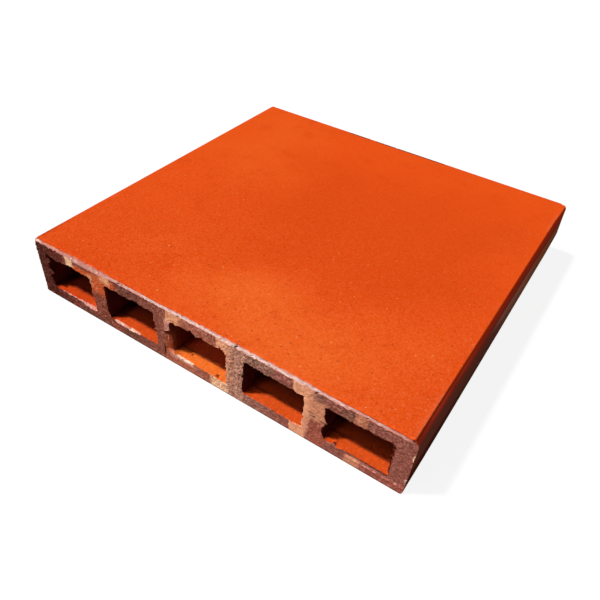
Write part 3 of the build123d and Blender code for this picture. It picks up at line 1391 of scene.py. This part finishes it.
        # Painted shade deeper in the cells, starting sooner in the middle cell.
        deep = net.blend(middle, finish.cell_deep_painted_shade, finish.cell_pale_deep_painted_shade)
        sooner = behind.step(7.5, 13.0) * middle
        coat.lay(behind.step(11.0, 26.0).larger(sooner), deep)
        # Painted shade on the walls above the floor.
        wall = net.blend(middle * 0.08, finish.cell_wall, finish.cell_pale)
        coat.lay(coat.z.step(floor + 0.2, floor + 0.9), wall)
        # Painted shade on the floors of the left cells behind their mouths.
        coat.lay(left * (behind.step(5.5, 9.0) * 0.55), finish.cell_deep_painted_shade)
        coat.lay(self.floor_painted_shade(coat, behind), finish.soot)
        # Painted shadow: a darker band on the floors where the roof's cast shadow begins.
        at_shadow = behind.step(8.0, 9.4) * behind.step(12.0, 9.6)
        coat.lay(at_shadow * 0.55, finish.cell_deep_painted_shade)
        grain = self.grain_of(point, CELL_GRAIN)
        coat.shade(grain["Grain"] * 0.4 + 0.8)
        for mark in FLOOR_PITS:
            coat.lay(self.mask_of(mark, point), TONES[mark.tone])
        self.worn_over(coat)
        return coat.close(CUT_ROUGHNESS, grain["Relief"], *CELL_BUMP)

    def make_all(self):
        """The materials in the order of SKIN, LEFT_END, RIGHT_END and CELL."""
        left_end = self.cut_end("wire_cut_left_end", -HALF_WIDTH, 0.0)
        right_end = self.cut_end("wire_cut_right_end", 0.0, HALF_WIDTH)
        return self.orange_skin(), left_end, right_end, self.cell_wall()


class OBJECT_OT_clay_tile(bpy.types.Operator):
    """Model the clay tile with its torn cells and worn ends, and give it its fired finish"""

    bl_idname = "object.clay_tile_body"
    bl_label = "Clay tile body"

    def execute(self, context):
        sizes = context.scene.clay_tile_sizes
        section = Section(sizes)
        bm = bmesh.new()
        cut_section(bm, section, sizes)
        draw_out(bm, sizes)
        sort_surfaces(bm, section)
        wear_ends(bm, section)
        bmesh.ops.scale(bm, vec=(MM, MM, MM), verts=bm.verts[:])
        bmesh.ops.recalc_face_normals(bm, faces=bm.faces[:])
        mesh = bpy.data.meshes.new("clay_tile_body")
        bm.to_mesh(mesh)
        bm.free()
        for material in ClayShaders(context.scene.clay_tile_finish, section).make_all():
            mesh.materials.append(material)
        mesh.shade_smooth()
        mesh.set_sharp_from_angle(angle=math.radians(40))
        body = bpy.data.objects.new("clay_tile_body", mesh)
        context.scene.collection.objects.link(body)
        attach(body, "root")
        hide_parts(CAD_NODE)
        return {"FINISHED"}


# Stage

CAMERA_PLACE = (0.17907, -0.34599, 0.29703)
CAMERA_AZIMUTH = math.radians(31.728)
CAMERA_ELEVATION = math.radians(44.272)
CAMERA_ROLL = math.radians(4.045)
CAMERA_SHIFT = (0.0435, 0.0652)
SENSOR_WIDTH = 36.0

# Lights: name, the way to it, how wide it looks in degrees.
LIGHTS = (
    ("key", Vector((-0.41, -0.27, 0.87)), 6.0),
    ("fill", Vector((-0.38, -0.90, 0.14)), 25.0),
    ("back", Vector((0.35, 0.85, 0.40)), 40.0),
)

# The floor: how it glows to the eye, its tone there, and its tone for the light that it gives back.
WHITE = (1.0, 1.0, 1.0, 1.0)
PAPER_GLOW = 0.88
PAPER_TONE = (0.15, 0.15, 0.15, 1.0)
GROUND_TONE = (0.2, 0.19, 0.18, 1.0)


def camera_matrix():
    azimuth, elevation, roll = CAMERA_AZIMUTH, CAMERA_ELEVATION, CAMERA_ROLL
    back = Vector((
        math.sin(azimuth) * math.cos(elevation),
        -math.cos(azimuth) * math.cos(elevation),
        math.sin(elevation)))
    level = Vector((math.cos(azimuth), math.sin(azimuth), 0))
    upright = back.cross(level)
    right = level * math.cos(roll) + upright * math.sin(roll)
    up = upright * math.cos(roll) - level * math.sin(roll)
    matrix = Matrix((right, up, back)).transposed().to_4x4()
    matrix.translation = CAMERA_PLACE
    return matrix


def add_sun(scene, name, towards, strength, spread):
    lamp = bpy.data.lights.new(name, "SUN")
    lamp.energy = strength
    lamp.angle = math.radians(spread)
    sun = bpy.data.objects.new(name, lamp)
    sun.rotation_euler = towards.to_track_quat("Z", "Y").to_euler()
    scene.collection.objects.link(sun)


def seen_by_eye(net):
    """1 for rays that the eye sees the stage by, straight or in gloss or glass, and 0 for its light."""
    ray = net.outs("ShaderNodeLightPath")
    seen = ray["Is Camera Ray"].larger(ray["Is Glossy Ray"])
    return seen.larger(ray["Is Transmission Ray"])


def make_floor_paper():
    """White paper that keeps a faint shadow to the eye, and gives little light back to the tile."""
    material = bpy.data.materials.new("floor_paper")
    net = fresh_net(material)
    glow = net.out(0, "ShaderNodeEmission", {"Color": WHITE, "Strength": PAPER_GLOW})
    paper = net.out(0, "ShaderNodeBsdfDiffuse", {"Color": PAPER_TONE})
    shown = net.out(0, "ShaderNodeAddShader", {0: glow, 1: paper})
    ground = net.out(0, "ShaderNodeBsdfDiffuse", {"Color": GROUND_TONE})
    mixed = net.out(0, "ShaderNodeMixShader", {0: seen_by_eye(net), 1: ground, 2: shown})
    net.add("ShaderNodeOutputMaterial", {"Surface": mixed})
    return material


def set_room(scene, level):
    """A white room to the eye, which gives light of the level."""
    world = bpy.data.worlds.new("room")
    net = fresh_net(world)
    strength = net.out(0, "ShaderNodeMix", {0: seen_by_eye(net), 2: level, 3: 1.0}, data_type="FLOAT")
    air = net.out(0, "ShaderNodeBackground", {"Color": WHITE, "Strength": strength})
    net.add("ShaderNodeOutputWorld", {"Surface": air})
    scene.world = world


class SCENE_OT_clay_tile_stage(bpy.types.Operator):
    """Lay the floor, light the tile and set the camera"""

    bl_idname = "scene.clay_tile_stage"
    bl_label = "Clay tile stage"

    def execute(self, context):
        scene = context.scene
        stage = scene.clay_tile_stage
        scene.view_settings.view_transform = "Standard"
        mesh = bpy.data.meshes.new("floor")
        bm = bmesh.new()
        bmesh.ops.create_grid(bm, x_segments=1, y_segments=1, size=stage.floor_size / 2)
        bm.to_mesh(mesh)
        bm.free()
        mesh.materials.append(make_floor_paper())
        floor = bpy.data.objects.new("floor", mesh)
        scene.collection.objects.link(floor)
        for name, towards, spread in LIGHTS:
            add_sun(scene, name + "_light", towards, getattr(stage, name + "_strength"), spread)
        set_room(scene, stage.room_level)
        lens = bpy.data.cameras.new("camera")
        lens.lens = stage.lens
        lens.sensor_width = SENSOR_WIDTH
        lens.shift_x, lens.shift_y = CAMERA_SHIFT
        camera = bpy.data.objects.new("camera", lens)
        camera.matrix_world = camera_matrix()
        scene.collection.objects.link(camera)
        scene.camera = camera
        return {"FINISHED"}


class VIEW3D_PT_clay_tile(bpy.types.Panel):
    """The tile's sizes, finish and stage"""

    bl_idname = "VIEW3D_PT_clay_tile"
    bl_label = "Clay tile"
    bl_space_type = "VIEW_3D"
    bl_region_type = "UI"
    bl_category = "Clay tile"

    def draw(self, context):
        scene = context.scene
        steps = (
            (scene.clay_tile_sizes, None),
            (scene.clay_tile_finish, OBJECT_OT_clay_tile.bl_idname),
            (scene.clay_tile_stage, SCENE_OT_clay_tile_stage.bl_idname),
        )
        for group, operator in steps:
            column = self.layout.column(align=True)
            for name in group.__annotations__:
                column.prop(group, name)
            if operator:
                column.operator(operator)


GROUPS = (
    ("clay_tile_sizes", ClayTileSizes),
    ("clay_tile_finish", ClayTileFinish),
    ("clay_tile_stage", ClayTileStage),
)
CLASSES = (
    *(group for _, group in GROUPS),
    OBJECT_OT_clay_tile,
    SCENE_OT_clay_tile_stage,
    VIEW3D_PT_clay_tile,
)


def register():
    for item in CLASSES:
        bpy.utils.register_class(item)
    for name, group in GROUPS:
        setattr(bpy.types.Scene, name, PointerProperty(type=group))


def unregister():
    for name, _ in GROUPS:
        delattr(bpy.types.Scene, name)
    for item in reversed(CLASSES):
        bpy.utils.unregister_class(item)


def main():
    register()
    bpy.ops.object.clay_tile_body()
    bpy.ops.scene.clay_tile_stage()


if __name__ == "__main__":
    main()
